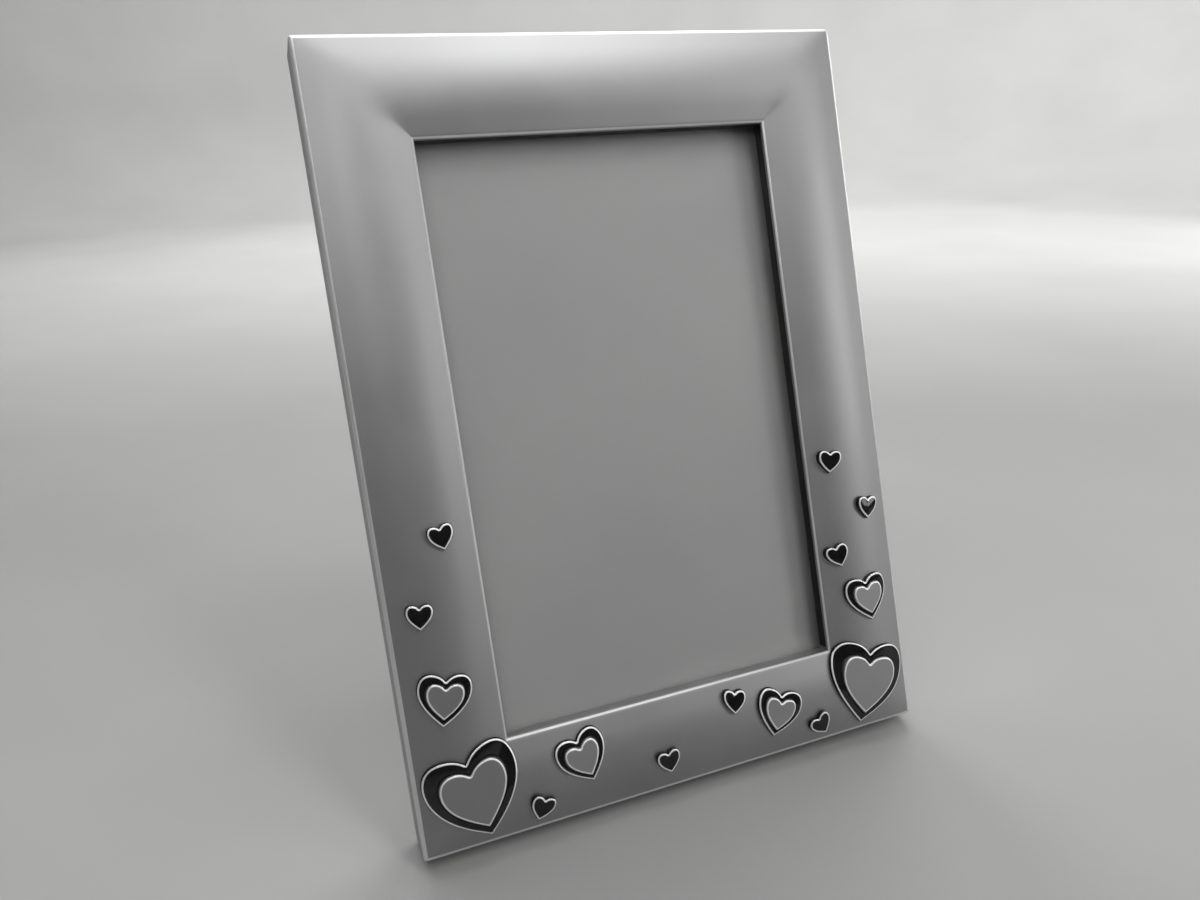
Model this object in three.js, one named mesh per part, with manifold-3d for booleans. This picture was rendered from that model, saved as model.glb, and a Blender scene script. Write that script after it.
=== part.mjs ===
// A standing photo frame with applied hearts, in millimetres, +Z up, its front facing -Y.
// Its pieces are drawn as if the frame stood upright: x to the right, z up along the face from the
// bottom edge, and y from the crest of the moulding towards the back. The frame then leans on its strut.

import * as THREE from 'three';
import { mergeVertices } from 'three/addons/utils/BufferGeometryUtils.js';
import loadManifold from 'manifold-3d';

const manifold = await loadManifold();
manifold.setup();

// Vertices closer than this are one vertex
const mergeDistance = 1e-4;

// The face of the frame: a ridged moulding round an upright opening
const frameWidth = 146;
const frameHeight = 200;
const barWidth = 25.2;
const crownRise = 2.16;
const crestReach = 8;
const crestSteps = 8;
const arris = 1;

// The shell of plated sheet, its inner lip and the rim folded in behind the back panel
const sheet = 0.9;
const lipDepth = 4.2;
const rimReach = 5;

// What the pocket behind the opening holds, from front to back
const sideOverlap = 3.5;
const endOverlap = 1.9;
const pocketPlay = 0.5;
const glassThickness = 2;
const insertThickness = 0.4;
const cardThickness = 1;
const layerGap = 0.3;

// The back panel, which slides up between the folded rims
const panelThickness = 2.6;
const panelPlay = 0.4;
const panelTopInset = 0.6;

// The stance: how far the face leans back, and how far the strut opens from the back
const leanBack = THREE.MathUtils.degToRad(18);
const strutOpening = THREE.MathUtils.degToRad(32);

// The strut board
const pivotZ = 140;
const strutThickness = 2.6;
const strutTopWidth = 34;
const strutFootWidth = 64;
const strutFootCorner = 5;

// The hinge: a bracket with two ears, a leaf rolled round the pin, and the pin
const hingeSheet = 0.8;
const hingeGap = 0.3;
const leafWidth = 20;
const leafReach = 17;
const pinRadius = 1;
const pinPlay = 0.1;
const pinHeadRadius = 1.7;
const pinHeadHeight = 0.6;
const bracketTop = 13;
const earEnd = 2.6;

// The rivets
const rivetRadius = 1.2;
const rivetHeadRadius = 2.3;
const rivetHeadHeight = 0.9;
const rivetGap = 0.1;
const rivetSpread = 12;
const bracketRivetZ = 9.2;
const leafRivetDrop = 10;
const roundSteps = 12;
const domeSteps = 4;

// The hearts: sizes of the three kinds
const bondGap = 0.25;
const smallWidth = 6.8;
const smallThickness = 1.2;
const mediumWidth = 13.8;
const largeWidth = 24.4;
const rimThickness = 1;
const heartBevel = 0.6;
const centreShare = 0.73;
const centreDropShare = 0.02;
const centreGap = 0.25;
const centreRise = 0.5;
const smallSteps = 4;
const smallUnderSteps = 2;
const rimSteps = 6;
const centreUnderSteps = 4;

// The places of the hearts. On the side bars, across is measured from the bar's centre line towards the
// opening and up from the bottom edge. On the bottom bar, along is measured from the nearer side edge.
// lean is in degrees, and positive where the top of the heart leans to the right.
const smallHearts = [
  { side: -1, across: 3.6, up: 79.3, lean: -7 },
  { side: -1, across: -4.6, up: 61.1, lean: 5 },
  { side: -1, along: 30.8, across: -6.6, lean: 26 },
  { side: -1, along: 66.6, across: -4.2, lean: -6 },
  { side: 1, along: 57.9, across: 6.6, lean: 12 },
  { side: 1, along: 31.9, across: -6.8, lean: -27 },
  { side: 1, across: 7, up: 52.3, lean: -13 },
  { side: 1, across: -4.4, up: 64.5, lean: 8 },
  { side: 1, across: 6, up: 79.4, lean: 9 },
];
const ringHearts = [
  { side: -1, across: -1.8, up: 39.8, lean: 12, width: mediumWidth },
  { side: -1, across: 2.3, up: 14.7, lean: -12, width: largeWidth },
  { side: -1, along: 43.4, across: 3.4, lean: -16, width: mediumWidth },
  { side: 1, along: 45.1, across: 0.3, lean: 21, width: mediumWidth },
  { side: 1, across: 2.9, up: 14.4, lean: 15, width: largeWidth },
  { side: 1, across: -0.8, up: 38.7, lean: -5, width: mediumWidth },
];

// Half of a heart of width 1, from its tip up the right side to its notch
const heartTip = [0, -0.5];
const heartHalf = [
  [[0.26, -0.3], [0.5, -0.08], [0.5, 0.18]],
  [[0.5, 0.35], [0.41, 0.455], [0.27, 0.455]],
  [[0.17, 0.455], [0.07, 0.42], [0, 0.33]],
];

// Depths from front to back
const edgeY = crownRise;
const lipEndY = edgeY + lipDepth;
const glassY = lipEndY + layerGap;
const insertY = glassY + glassThickness + layerGap;
const cardY = insertY + insertThickness + layerGap;
const panelY = cardY + cardThickness + layerGap;
const panelRearY = panelY + panelThickness;
const rearY = panelRearY + layerGap + sheet;

// The opening and the pocket behind it
const openingWidth = frameWidth - 2 * barWidth;
const openingHeight = frameHeight - 2 * barWidth;
const pocketWidth = openingWidth + 2 * sideOverlap;
const pocketBottom = barWidth - endOverlap;
const pocketTop = frameHeight - pocketBottom;

// The hinge axis stands off the back so that the folded strut clears the rims and the barrel the bracket
const barrelRadius = pinRadius + pinPlay + hingeSheet;
const bracketY = panelRearY + rivetGap;
const bracketRearY = bracketY + hingeSheet;
const pivotOverStrut = rearY + hingeGap + strutThickness + rivetGap + hingeSheet - barrelRadius;
const pivotOverBracket = bracketRearY + hingeGap + barrelRadius;
const pivotY = Math.max(pivotOverStrut, pivotOverBracket);

// Depths on the strut, measured from the hinge axis
const leafRear = barrelRadius;
const leafFront = leafRear - hingeSheet;
const strutRear = leafFront - rivetGap;
const strutFront = strutRear - strutThickness;
const strutTop = -earEnd - hingeGap;

// The leaf's tail meets the bracket when the strut is fully open
const tailReach = leafFront * Math.cos(strutOpening) + pivotY - bracketRearY - rivetGap;
const tailLength = tailReach / Math.sin(strutOpening);

// The strut's slope against the upright, and the height of its hinge axis above the table
const strutSlope = strutOpening - leanBack;
const pivotHeight = pivotZ * Math.cos(leanBack) - (pivotY - rearY) * Math.sin(leanBack);

// Materials
const satinSilver = { color: 0xc4c5c6, roughness: 0.38, metalness: 1 };
const polishedSilver = { color: 0xe2e3e5, roughness: 0.06, metalness: 1 };
const nickel = { color: 0xb9b6ae, roughness: 0.25, metalness: 1 };
const fibreboard = { color: 0x8a6a48, roughness: 0.85, metalness: 0 };
const clearGlass = { color: 0xdfe6e4, roughness: 0.03, metalness: 0, transparent: true, opacity: 0.25 };
const greyPaper = { color: 0xa3a4a4, roughness: 0.7, metalness: 0 };
const greyCard = { color: 0x7d7b76, roughness: 0.9, metalness: 0 };
const blackVelvet = { color: 0x141416, roughness: 0.95, metalness: 0 };

// A closed solid for joining and cutting, from a geometry whose shared vertices are merged
function toSolid(geometry) {
  const bare = new THREE.BufferGeometry();
  bare.setAttribute('position', geometry.getAttribute('position'));
  bare.setIndex(geometry.getIndex());
  const merged = mergeVertices(bare, mergeDistance);
  return new manifold.Manifold(new manifold.Mesh({
    numProp: 3,
    vertProperties: new Float32Array(merged.getAttribute('position').array),
    triVerts: new Uint32Array(merged.getIndex().array),
  }));
}

function toGeometry(solid) {
  const mesh = solid.getMesh();
  const geometry = new THREE.BufferGeometry();
  geometry.setAttribute('position', new THREE.BufferAttribute(mesh.vertProperties, 3));
  geometry.setIndex(new THREE.BufferAttribute(mesh.triVerts, 1));
  return geometry;
}

function join(...geometries) {
  const solids = geometries.map(toSolid);
  return toGeometry(solids.reduce((whole, next) => whole.add(next)));
}

function cut(body, ...tools) {
  const solids = tools.map(toSolid);
  return toGeometry(solids.reduce((rest, tool) => rest.subtract(tool), toSolid(body)));
}

// A block between two corners
function block(low, high) {
  const size = high.map((value, axis) => value - low[axis]);
  const middle = high.map((value, axis) => (value + low[axis]) / 2);
  return new THREE.BoxGeometry(...size).translate(...middle);
}

function extruded(shape, depth) {
  return new THREE.ExtrudeGeometry(shape, { depth, bevelEnabled: false, curveSegments: roundSteps });
}

// A board that lies along the face: its shape is drawn in x and z, and it runs back from frontY
function board(shape, frontY, rearwards) {
  return extruded(shape, rearwards).rotateX(Math.PI / 2).translate(0, frontY + rearwards, 0);
}

// A cheek that stands across the face: its shape is drawn in y and z, and it runs from one x to another
function cheek(shape, fromX, toX) {
  const turn = new THREE.Matrix4().makeBasis(
    new THREE.Vector3(0, 1, 0),
    new THREE.Vector3(0, 0, 1),
    new THREE.Vector3(1, 0, 0),
  );
  return extruded(shape, toX - fromX).applyMatrix4(turn).translate(fromX, 0, 0);
}

function rectangle(left, bottom, right, top) {
  const shape = new THREE.Shape();
  shape.moveTo(left, bottom);
  shape.lineTo(right, bottom);
  shape.lineTo(right, top);
  shape.lineTo(left, top);
  shape.closePath();
  return shape;
}

function roundHole(shape, x, y, radius) {
  const hole = new THREE.Path();
  hole.absarc(x, y, radius, 0, 2 * Math.PI, true);
  shape.holes.push(hole);
}

// The moulding: straight flanks that meet in a rounded crest halfway across the bar
function crown(inset) {
  const half = barWidth / 2;
  const slope = crownRise / (half - crestReach / 2);
  const fromCrest = Math.min(Math.abs(inset - half), half);
  if (fromCrest > crestReach) {
    return slope * (half - fromCrest);
  }
  return crownRise - slope * fromCrest ** 2 / (2 * crestReach);
}

function faceY(inset) {
  return edgeY - crown(inset);
}

// The insets where the moulding's section has a point, between two insets on its flanks
function crownInsets(first, last) {
  const insets = [first];
  for (let step = 0; step <= crestSteps; step += 1) {
    insets.push(barWidth / 2 + crestReach * (2 * step / crestSteps - 1));
  }
  insets.push(last);
  return insets;
}

// A closed section of [inset, y] points, carried round the frame's rectangle with mitred corners
function sweepRound(section) {
  const positions = [];
  for (const [inset, y] of section) {
    const side = frameWidth / 2 - inset;
    const top = frameHeight - inset;
    positions.push(-side, y, inset, side, y, inset, side, y, top, -side, y, top);
  }
  const index = [];
  section.forEach((point, row) => {
    const nextRow = (row + 1) % section.length;
    for (let corner = 0; corner < 4; corner += 1) {
      const nextCorner = (corner + 1) % 4;
      const a = 4 * row + corner;
      const b = 4 * row + nextCorner;
      const c = 4 * nextRow + nextCorner;
      const d = 4 * nextRow + corner;
      index.push(a, b, c, a, c, d);
    }
  });
  const geometry = new THREE.BufferGeometry();
  geometry.setAttribute('position', new THREE.Float32BufferAttribute(positions, 3));
  geometry.setIndex(index);
  return geometry;
}

// The pressed shell, open at the top behind its wall so that the back panel can slide out
function frameShell() {
  const face = crownInsets(arris, barWidth - arris).map((inset) => [inset, faceY(inset)]);
  const inside = crownInsets(sheet, barWidth - sheet).reverse().map((inset) => [inset, faceY(inset) + sheet]);
  const section = [
    [0, edgeY + arris],
    ...face,
    [barWidth, edgeY + arris],
    [barWidth, lipEndY],
    [barWidth - sheet, lipEndY],
    ...inside,
    [sheet, rearY - sheet],
    [rimReach, rearY - sheet],
    [rimReach, rearY],
    [0, rearY],
  ];
  const slotSide = frameWidth / 2 - sheet;
  const rimSide = frameWidth / 2 - rimReach;
  const over = frameHeight + sheet;
  const slotY = panelY - layerGap;
  const slot = block([-slotSide, slotY, frameHeight - 2 * sheet], [slotSide, rearY - sheet, over]);
  const topRim = block([-rimSide, slotY, frameHeight - rimReach - sheet], [rimSide, rearY + sheet, over]);
  return cut(sweepRound(section), slot, topRim);
}

// The fibreboard ring inside the shell, with the pocket for the glass cut into its back
function coreFrame() {
  const skin = sheet + layerGap;
  const coreRearY = panelY - layerGap;
  const face = crownInsets(skin, barWidth - skin).map((inset) => [inset, faceY(inset) + skin]);
  const section = [...face, [barWidth - skin, coreRearY], [skin, coreRearY]];
  const pocket = block(
    [-pocketWidth / 2, lipEndY, pocketBottom],
    [pocketWidth / 2, coreRearY + sheet, pocketTop],
  );
  return cut(sweepRound(section), pocket);
}

// A sheet that lies in the pocket
function pocketSheet(frontY, thickness) {
  const side = pocketWidth / 2 - pocketPlay;
  return block(
    [-side, frontY, pocketBottom + pocketPlay],
    [side, frontY + thickness, pocketTop - pocketPlay],
  );
}

// The back panel, with holes for the bracket's rivets
function backPanel() {
  const side = frameWidth / 2 - sheet - panelPlay;
  const bottom = sheet + panelPlay;
  const top = frameHeight - panelTopInset;
  const shape = rectangle(-side, bottom, side, top);
  for (const x of rivetPlaces()) {
    roundHole(shape, x, pivotZ + bracketRivetZ, rivetRadius + rivetGap);
  }
  return board(shape, panelY, panelThickness);
}

function rivetPlaces() {
  return [-rivetSpread / 2, rivetSpread / 2];
}

// The bracket on the back panel: a plate for two rivets and an ear at each end of the pin
function hingeBracket() {
  const earInner = leafWidth / 2 + hingeGap;
  const earOuter = earInner + hingeSheet;
  const plateShape = rectangle(-earOuter, pivotZ - earEnd, earOuter, pivotZ + bracketTop);
  for (const x of rivetPlaces()) {
    roundHole(plateShape, x, pivotZ + bracketRivetZ, rivetRadius + rivetGap);
  }
  const earShape = new THREE.Shape();
  earShape.moveTo(bracketY, pivotZ - earEnd);
  earShape.lineTo(pivotY, pivotZ - earEnd);
  earShape.absarc(pivotY, pivotZ, earEnd, -Math.PI / 2, Math.PI / 2, false);
  earShape.lineTo(bracketY, pivotZ + bracketTop);
  earShape.closePath();
  roundHole(earShape, pivotY, pivotZ, pinRadius + pinPlay);
  return join(
    board(plateShape, bracketY, hingeSheet),
    cheek(earShape, -earOuter, -earInner),
    cheek(earShape, earInner, earOuter),
  );
}

// The hinge pin, headed outside both ears, drawn about the origin along x
function hingePin() {
  const reach = leafWidth / 2 + 2 * hingeGap + hingeSheet;
  const half = [
    [pinRadius, reach],
    [pinHeadRadius, reach],
    [pinHeadRadius, reach + pinHeadHeight],
    [0, reach + pinHeadHeight],
  ];
  const mirrored = half.map(([radius, along]) => [radius, -along]).reverse();
  const profile = [...mirrored, ...half].map((point) => new THREE.Vector2(...point));
  return new THREE.LatheGeometry(profile, 2 * roundSteps).rotateZ(-Math.PI / 2);
}

// A rivet along y: its shank starts at fromY and its domed head sits on seatY
function rivet(fromY, seatY) {
  const headY = seatY + rivetGap;
  const profile = [[0, fromY], [rivetRadius, fromY], [rivetRadius, headY]];
  for (let step = 0; step <= domeSteps; step += 1) {
    const turn = (Math.PI / 2) * (step / domeSteps);
    profile.push([rivetHeadRadius * Math.cos(turn), headY + rivetHeadHeight * Math.sin(turn)]);
  }
  profile[profile.length - 1][0] = 0;
  return new THREE.LatheGeometry(profile.map((point) => new THREE.Vector2(...point)), roundSteps);
}

// The leaf on the strut: a plate for two rivets, the barrel round the pin and the stop tail above it.
// The leaf and the strut are drawn from the hinge axis, with the strut hanging straight down.
function hingeLeaf() {
  const side = leafWidth / 2;
  const plateShape = rectangle(-side, -leafReach, side, tailLength);
  for (const x of rivetPlaces()) {
    roundHole(plateShape, x, -leafRivetDrop, rivetRadius + rivetGap);
  }
  const barrelShape = new THREE.Shape();
  barrelShape.absarc(0, 0, barrelRadius, 0, 2 * Math.PI, false);
  const boreShape = new THREE.Shape();
  boreShape.absarc(0, 0, pinRadius + pinPlay, 0, 2 * Math.PI, false);
  const solid = join(board(plateShape, leafFront, hingeSheet), cheek(barrelShape, -side, side));
  return cut(solid, cheek(boreShape, -side - hingeGap, side + hingeGap));
}

// The strut board widens towards its foot, which is cut flat to stand on the table when it is open
function strut() {
  const length = pivotHeight / Math.cos(strutSlope) + strutThickness;
  const topSide = strutTopWidth / 2;
  const footSide = strutFootWidth / 2;
  const shape = new THREE.Shape();
  shape.moveTo(-topSide, strutTop);
  shape.lineTo(-footSide, -length + strutFootCorner + strutThickness);
  shape.lineTo(-footSide + strutFootCorner, -length);
  shape.lineTo(footSide - strutFootCorner, -length);
  shape.lineTo(footSide, -length + strutFootCorner + strutThickness);
  shape.lineTo(topSide, strutTop);
  shape.closePath();
  for (const x of rivetPlaces()) {
    roundHole(shape, x, -leafRivetDrop, rivetRadius + rivetGap);
  }
  const reach = strutFootWidth;
  const table = block([-reach, -reach, -reach], [reach, reach, 0]);
  table.translate(0, 0, -pivotHeight).rotateX(-strutSlope);
  return cut(board(shape, strutFront, strutThickness), table);
}

// The y of the moulding's face at a place on it
function faceAt(x, z) {
  const side = frameWidth / 2 - Math.abs(x);
  const inset = Math.min(side, z, frameHeight - z);
  return faceY(THREE.MathUtils.clamp(inset, 0, barWidth));
}

// The outline of a heart of width 1, anticlockwise from its tip as seen from the front
function heartOutline(steps) {
  const shape = new THREE.Shape();
  shape.moveTo(...heartTip);
  for (const [first, second, end] of heartHalf) {
    shape.bezierCurveTo(...first, ...second, ...end);
  }
  const ends = [heartTip, ...heartHalf.map((curve) => curve[2])];
  for (let row = heartHalf.length - 1; row >= 0; row -= 1) {
    const [first, second] = heartHalf[row];
    const end = ends[row];
    shape.bezierCurveTo(-second[0], second[1], -first[0], first[1], -end[0], end[1]);
  }
  return shape.getPoints(steps).slice(0, -1);
}

// Where a heart stands: the centre of its outline on the face, its turn, and the plane that it lies in
function heartSeat(heart) {
  const middle = barWidth / 2 + heart.across;
  const fromSide = heart.along ?? middle;
  const x = heart.side * (frameWidth / 2 - fromSide);
  const z = heart.up ?? middle;
  const probe = smallWidth / 2;
  const slopeX = (faceAt(x + probe, z) - faceAt(x - probe, z)) / (2 * probe);
  const slopeZ = (faceAt(x, z + probe) - faceAt(x, z - probe)) / (2 * probe);
  const turn = THREE.MathUtils.degToRad(heart.lean);
  return { x, z, slopeX, slopeZ, turn };
}

// One loop of a heart: its outline drawn at a width, let down towards the tip by drop
function heartLoop(seat, outline, width, drop) {
  return outline.map((point) => {
    const across = point.x * width;
    const along = point.y * width - drop;
    return {
      x: seat.x + across * Math.cos(seat.turn) + along * Math.sin(seat.turn),
      z: seat.z - across * Math.sin(seat.turn) + along * Math.cos(seat.turn),
    };
  });
}

// Lays a loop over the moulding, rise in front of its face
function drape(loop, rise) {
  return loop.map(({ x, z }) => new THREE.Vector3(x, faceAt(x, z) - rise, z));
}

// Lays a loop on the plane of a heart's seat, rise in front of it
function level(loop, seat, rise) {
  const middleY = faceAt(seat.x, seat.z);
  return loop.map(({ x, z }) => {
    const y = middleY + seat.slopeX * (x - seat.x) + seat.slopeZ * (z - seat.z) - rise;
    return new THREE.Vector3(x, y, z);
  });
}

// Joins loops, from the back round the outside to the front. A loop of one point closes an end,
// and a chain that is closed runs from its last loop back to its first.
function loft(loops, closed) {
  const starts = [];
  const points = [];
  for (const loop of loops) {
    starts.push(points.length);
    points.push(...loop);
  }
  const at = (row, step) => starts[row] + step % loops[row].length;
  const index = [];
  const rows = closed ? loops.length : loops.length - 1;
  for (let row = 0; row < rows; row += 1) {
    const nextRow = (row + 1) % loops.length;
    const count = Math.max(loops[row].length, loops[nextRow].length);
    for (let step = 0; step < count; step += 1) {
      const a = at(row, step);
      const b = at(row, step + 1);
      const c = at(nextRow, step + 1);
      const d = at(nextRow, step);
      if (a !== b) {
        index.push(a, b, c);
      }
      if (c !== d) {
        index.push(a, c, d);
      }
    }
  }
  const geometry = new THREE.BufferGeometry().setFromPoints(points);
  geometry.setIndex(index);
  return geometry;
}

// A bevelled heart with a flat top, whose underside follows the moulding
function heartPlate(seat, outline, width, drop, rise, underSteps) {
  const loopAt = (share) => heartLoop(seat, outline, width * share, drop);
  const centre = heartLoop(seat, [new THREE.Vector2(0, 0)], width, drop);
  const loops = [drape(centre, bondGap)];
  for (let step = 1; step <= underSteps; step += 1) {
    loops.push(drape(loopAt(step / underSteps), bondGap));
  }
  loops.push(level(loopAt(1), seat, bondGap + rise - heartBevel));
  loops.push(level(loopAt(1 - 2 * heartBevel / width), seat, bondGap + rise));
  loops.push(level(centre, seat, bondGap + rise));
  return loft(loops, false);
}

function smallHeart(heart) {
  const outline = heartOutline(smallSteps);
  return heartPlate(heartSeat(heart), outline, smallWidth, 0, smallThickness, smallUnderSteps);
}

// The polished rim of a two-part heart, laid over the moulding
function heartRim(heart) {
  const seat = heartSeat(heart);
  const outline = heartOutline(rimSteps);
  const outer = heartLoop(seat, outline, heart.width, 0);
  const bevelled = heartLoop(seat, outline, heart.width - 2 * heartBevel, 0);
  const inner = heartLoop(seat, outline, heart.width * centreShare, heart.width * centreDropShare);
  return loft([
    drape(outer, bondGap),
    drape(outer, bondGap + rimThickness - heartBevel),
    drape(bevelled, bondGap + rimThickness),
    drape(inner, bondGap + rimThickness),
    drape(inner, bondGap),
  ], true);
}

// The satin centre of a two-part heart, standing in its rim and rising above it
function heartCentre(heart) {
  const width = heart.width * centreShare - 2 * centreGap;
  const drop = heart.width * centreDropShare;
  const rise = rimThickness + centreRise;
  const outline = heartOutline(rimSteps);
  return heartPlate(heartSeat(heart), outline, width, drop, rise, centreUnderSteps);
}

function addPiece(group, name, geometry, finish, x = 0, y = 0, z = 0) {
  const mesh = new THREE.Mesh(geometry, new THREE.MeshStandardMaterial(finish));
  mesh.name = name;
  mesh.position.set(x, y, z);
  group.add(mesh);
}

// The frame leans back, and its strut hangs from the hinge axis and opens to the rear
const leaning = new THREE.Group();
leaning.rotation.x = -leanBack;
const strutGroup = new THREE.Group();
strutGroup.position.set(0, pivotY, pivotZ);
strutGroup.rotation.x = strutOpening;
leaning.add(strutGroup);

addPiece(leaning, 'frame_shell', frameShell(), satinSilver);
addPiece(leaning, 'core_frame', coreFrame(), fibreboard);
addPiece(leaning, 'glass_pane', pocketSheet(glassY, glassThickness), clearGlass);
addPiece(leaning, 'photo_insert', pocketSheet(insertY, insertThickness), greyPaper);
addPiece(leaning, 'backing_card', pocketSheet(cardY, cardThickness), greyCard);

smallHearts.forEach((heart, number) => {
  addPiece(leaning, `small_heart_${number + 1}`, smallHeart(heart), polishedSilver);
});
ringHearts.forEach((heart, number) => {
  addPiece(leaning, `heart_rim_${number + 1}`, heartRim(heart), polishedSilver);
  addPiece(leaning, `heart_centre_${number + 1}`, heartCentre(heart), satinSilver);
});

addPiece(leaning, 'back_panel', backPanel(), blackVelvet);
addPiece(leaning, 'hinge_bracket', hingeBracket(), nickel);
addPiece(leaning, 'hinge_pin', hingePin(), nickel, 0, pivotY, pivotZ);
rivetPlaces().forEach((x, number) => {
  const name = `bracket_rivet_${number + 1}`;
  addPiece(leaning, name, rivet(panelY, bracketRearY), nickel, x, 0, pivotZ + bracketRivetZ);
});

addPiece(strutGroup, 'strut', strut(), blackVelvet);
addPiece(strutGroup, 'hinge_leaf', hingeLeaf(), nickel);
rivetPlaces().forEach((x, number) => {
  addPiece(strutGroup, `leaf_rivet_${number + 1}`, rivet(strutFront, leafRear), nickel, x, 0, -leafRivetDrop);
});

// The frame stands with the middle of its footprint at the origin
const photoFrame = new THREE.Group();
photoFrame.add(leaning);
const bounds = new THREE.Box3().setFromObject(photoFrame, true);
const centre = bounds.getCenter(new THREE.Vector3());
photoFrame.position.set(-centre.x, -centre.y, -bounds.min.z);

export default photoFrame;
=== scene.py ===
"""The looks of a leaning photo frame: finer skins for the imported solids, materials, floor, light and camera.

Shapes are drawn as in the source of the solids: upright, in millimetres, x to the right, z up along the face
from the bottom edge, and y from the crest of the moulding towards the back. They are then leaned into place.
"""

import math

import bmesh
import bpy
from mathutils import Matrix, Vector


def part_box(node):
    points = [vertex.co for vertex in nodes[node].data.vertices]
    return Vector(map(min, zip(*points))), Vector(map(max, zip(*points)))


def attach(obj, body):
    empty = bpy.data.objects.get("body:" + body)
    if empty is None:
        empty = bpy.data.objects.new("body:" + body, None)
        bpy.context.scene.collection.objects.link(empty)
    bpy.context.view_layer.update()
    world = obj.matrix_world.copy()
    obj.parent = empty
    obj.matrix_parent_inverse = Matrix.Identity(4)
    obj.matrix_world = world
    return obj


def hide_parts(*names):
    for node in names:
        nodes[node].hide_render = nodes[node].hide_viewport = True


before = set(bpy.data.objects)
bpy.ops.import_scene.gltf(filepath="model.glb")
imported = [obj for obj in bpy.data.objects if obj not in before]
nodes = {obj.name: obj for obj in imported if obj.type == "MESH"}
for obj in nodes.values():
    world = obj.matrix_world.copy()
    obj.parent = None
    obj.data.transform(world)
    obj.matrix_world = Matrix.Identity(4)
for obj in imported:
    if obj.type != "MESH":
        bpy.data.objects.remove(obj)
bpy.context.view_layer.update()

MM = 0.001

# The face of the frame: a ridged moulding round an upright opening
FRAME_WIDTH = 146.0
FRAME_HEIGHT = 200.0
BAR_WIDTH = 25.2
CROWN_RISE = 2.16
CREST_REACH = 8.0
ARRIS = 1.0
CORNER_RADIUS = 0.8

# How far the ridge is eased across each mitre: at the outer corner, and what it gains towards the opening
HIP_EASE = 2.5
MITRE_EASE = 14.0

# The sheet of the shell, its inner lip, and the rim folded in behind the back panel
SHEET = 0.9
LIP_DEPTH = 4.2
RIM_REACH = 5.0
LIP_EDGE = 0.2
REAR_EDGE = 0.4

# What the pocket behind the opening holds, from front to back
END_OVERLAP = 1.9
POCKET_PLAY = 0.5
GLASS_THICKNESS = 2.0
INSERT_THICKNESS = 0.4
CARD_THICKNESS = 1.0
LAYER_GAP = 0.3
PANEL_THICKNESS = 2.6

# The stance of the frame, and the strut's opening from the back
LEAN_BACK = math.radians(18)
STRUT_OPENING = math.radians(32)
PIVOT_Z = 140.0
STRUT_THICKNESS = 2.6

# The hinge and its rivets
HINGE_SHEET = 0.8
HINGE_GAP = 0.3
LEAF_WIDTH = 20.0
PIN_RADIUS = 1.0
PIN_PLAY = 0.1
PIN_HEAD_RADIUS = 1.7
PIN_HEAD_HEIGHT = 0.6
RIVET_RADIUS = 1.2
RIVET_HEAD_RADIUS = 2.3
RIVET_HEAD_HEIGHT = 0.9
RIVET_GAP = 0.1
RIVET_SPREAD = 12.0
BRACKET_RIVET_Z = 9.2
LEAF_RIVET_DROP = 10.0

# How far the sharp edges of the boards and the hinge are rounded, and in how many strips
PANEL_EDGE = 0.6
STRUT_EDGE = 0.7
HINGE_EDGE = 0.12
SOFT_STRIPS = 3

# The hearts: sizes of the three kinds
BOND_GAP = 0.1
SMALL_WIDTH = 6.8
SMALL_THICKNESS = 1.2
SMALL_DOME = 0.12
MEDIUM_WIDTH = 13.8
LARGE_WIDTH = 24.4
RIM_THICKNESS = 1.0
HEART_BEVEL = 0.6
INNER_FILLET = 0.15
UNDER_SHARES = (0.25, 0.5, 0.75, 1)
TOP_SHARES = (0.96, 0.8, 0.6, 0.4, 0.2)
CENTRE_SHARE = 0.73
CENTRE_DROP_SHARE = 0.02
CENTRE_GAP = 0.25
CENTRE_RISE = 0.5

# The places of the hearts. On the side bars, across is measured from the bar's centre line towards the
# opening and up from the bottom edge. On the bottom bar, along is measured from the nearer side edge.
# lean is in degrees, and positive where the top of the heart leans to the right.
SMALL_HEARTS = [
    {"side": -1, "across": 3.6, "up": 79.3, "lean": -7},
    {"side": -1, "across": -4.6, "up": 61.1, "lean": 5},
    {"side": -1, "along": 30.8, "across": -6.6, "lean": 26},
    {"side": -1, "along": 66.6, "across": -4.2, "lean": -6},
    {"side": 1, "along": 57.9, "across": 6.6, "lean": 12},
    {"side": 1, "along": 31.9, "across": -6.8, "lean": -27},
    {"side": 1, "across": 7, "up": 52.3, "lean": -13},
    {"side": 1, "across": -4.4, "up": 64.5, "lean": 8},
    {"side": 1, "across": 6, "up": 79.4, "lean": 9},
]
RING_HEARTS = [
    {"side": -1, "across": -1.8, "up": 39.8, "lean": 12, "width": MEDIUM_WIDTH},
    {"side": -1, "across": 2.3, "up": 14.7, "lean": -12, "width": LARGE_WIDTH},
    {"side": -1, "along": 43.4, "across": 3.4, "lean": -16, "width": MEDIUM_WIDTH},
    {"side": 1, "along": 45.1, "across": 0.3, "lean": 21, "width": MEDIUM_WIDTH},
    {"side": 1, "across": 2.9, "up": 14.4, "lean": 15, "width": LARGE_WIDTH},
    {"side": 1, "across": -0.8, "up": 38.7, "lean": -5, "width": MEDIUM_WIDTH},
]

# Half of a heart of width 1, from its tip up the right side to its notch
HEART_TIP = (0.0, -0.5)
HEART_HALF = [
    [(0.26, -0.3), (0.5, -0.08), (0.5, 0.18)],
    [(0.5, 0.35), (0.41, 0.455), (0.27, 0.455)],
    [(0.17, 0.455), (0.07, 0.42), (0.0, 0.33)],
]

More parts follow.
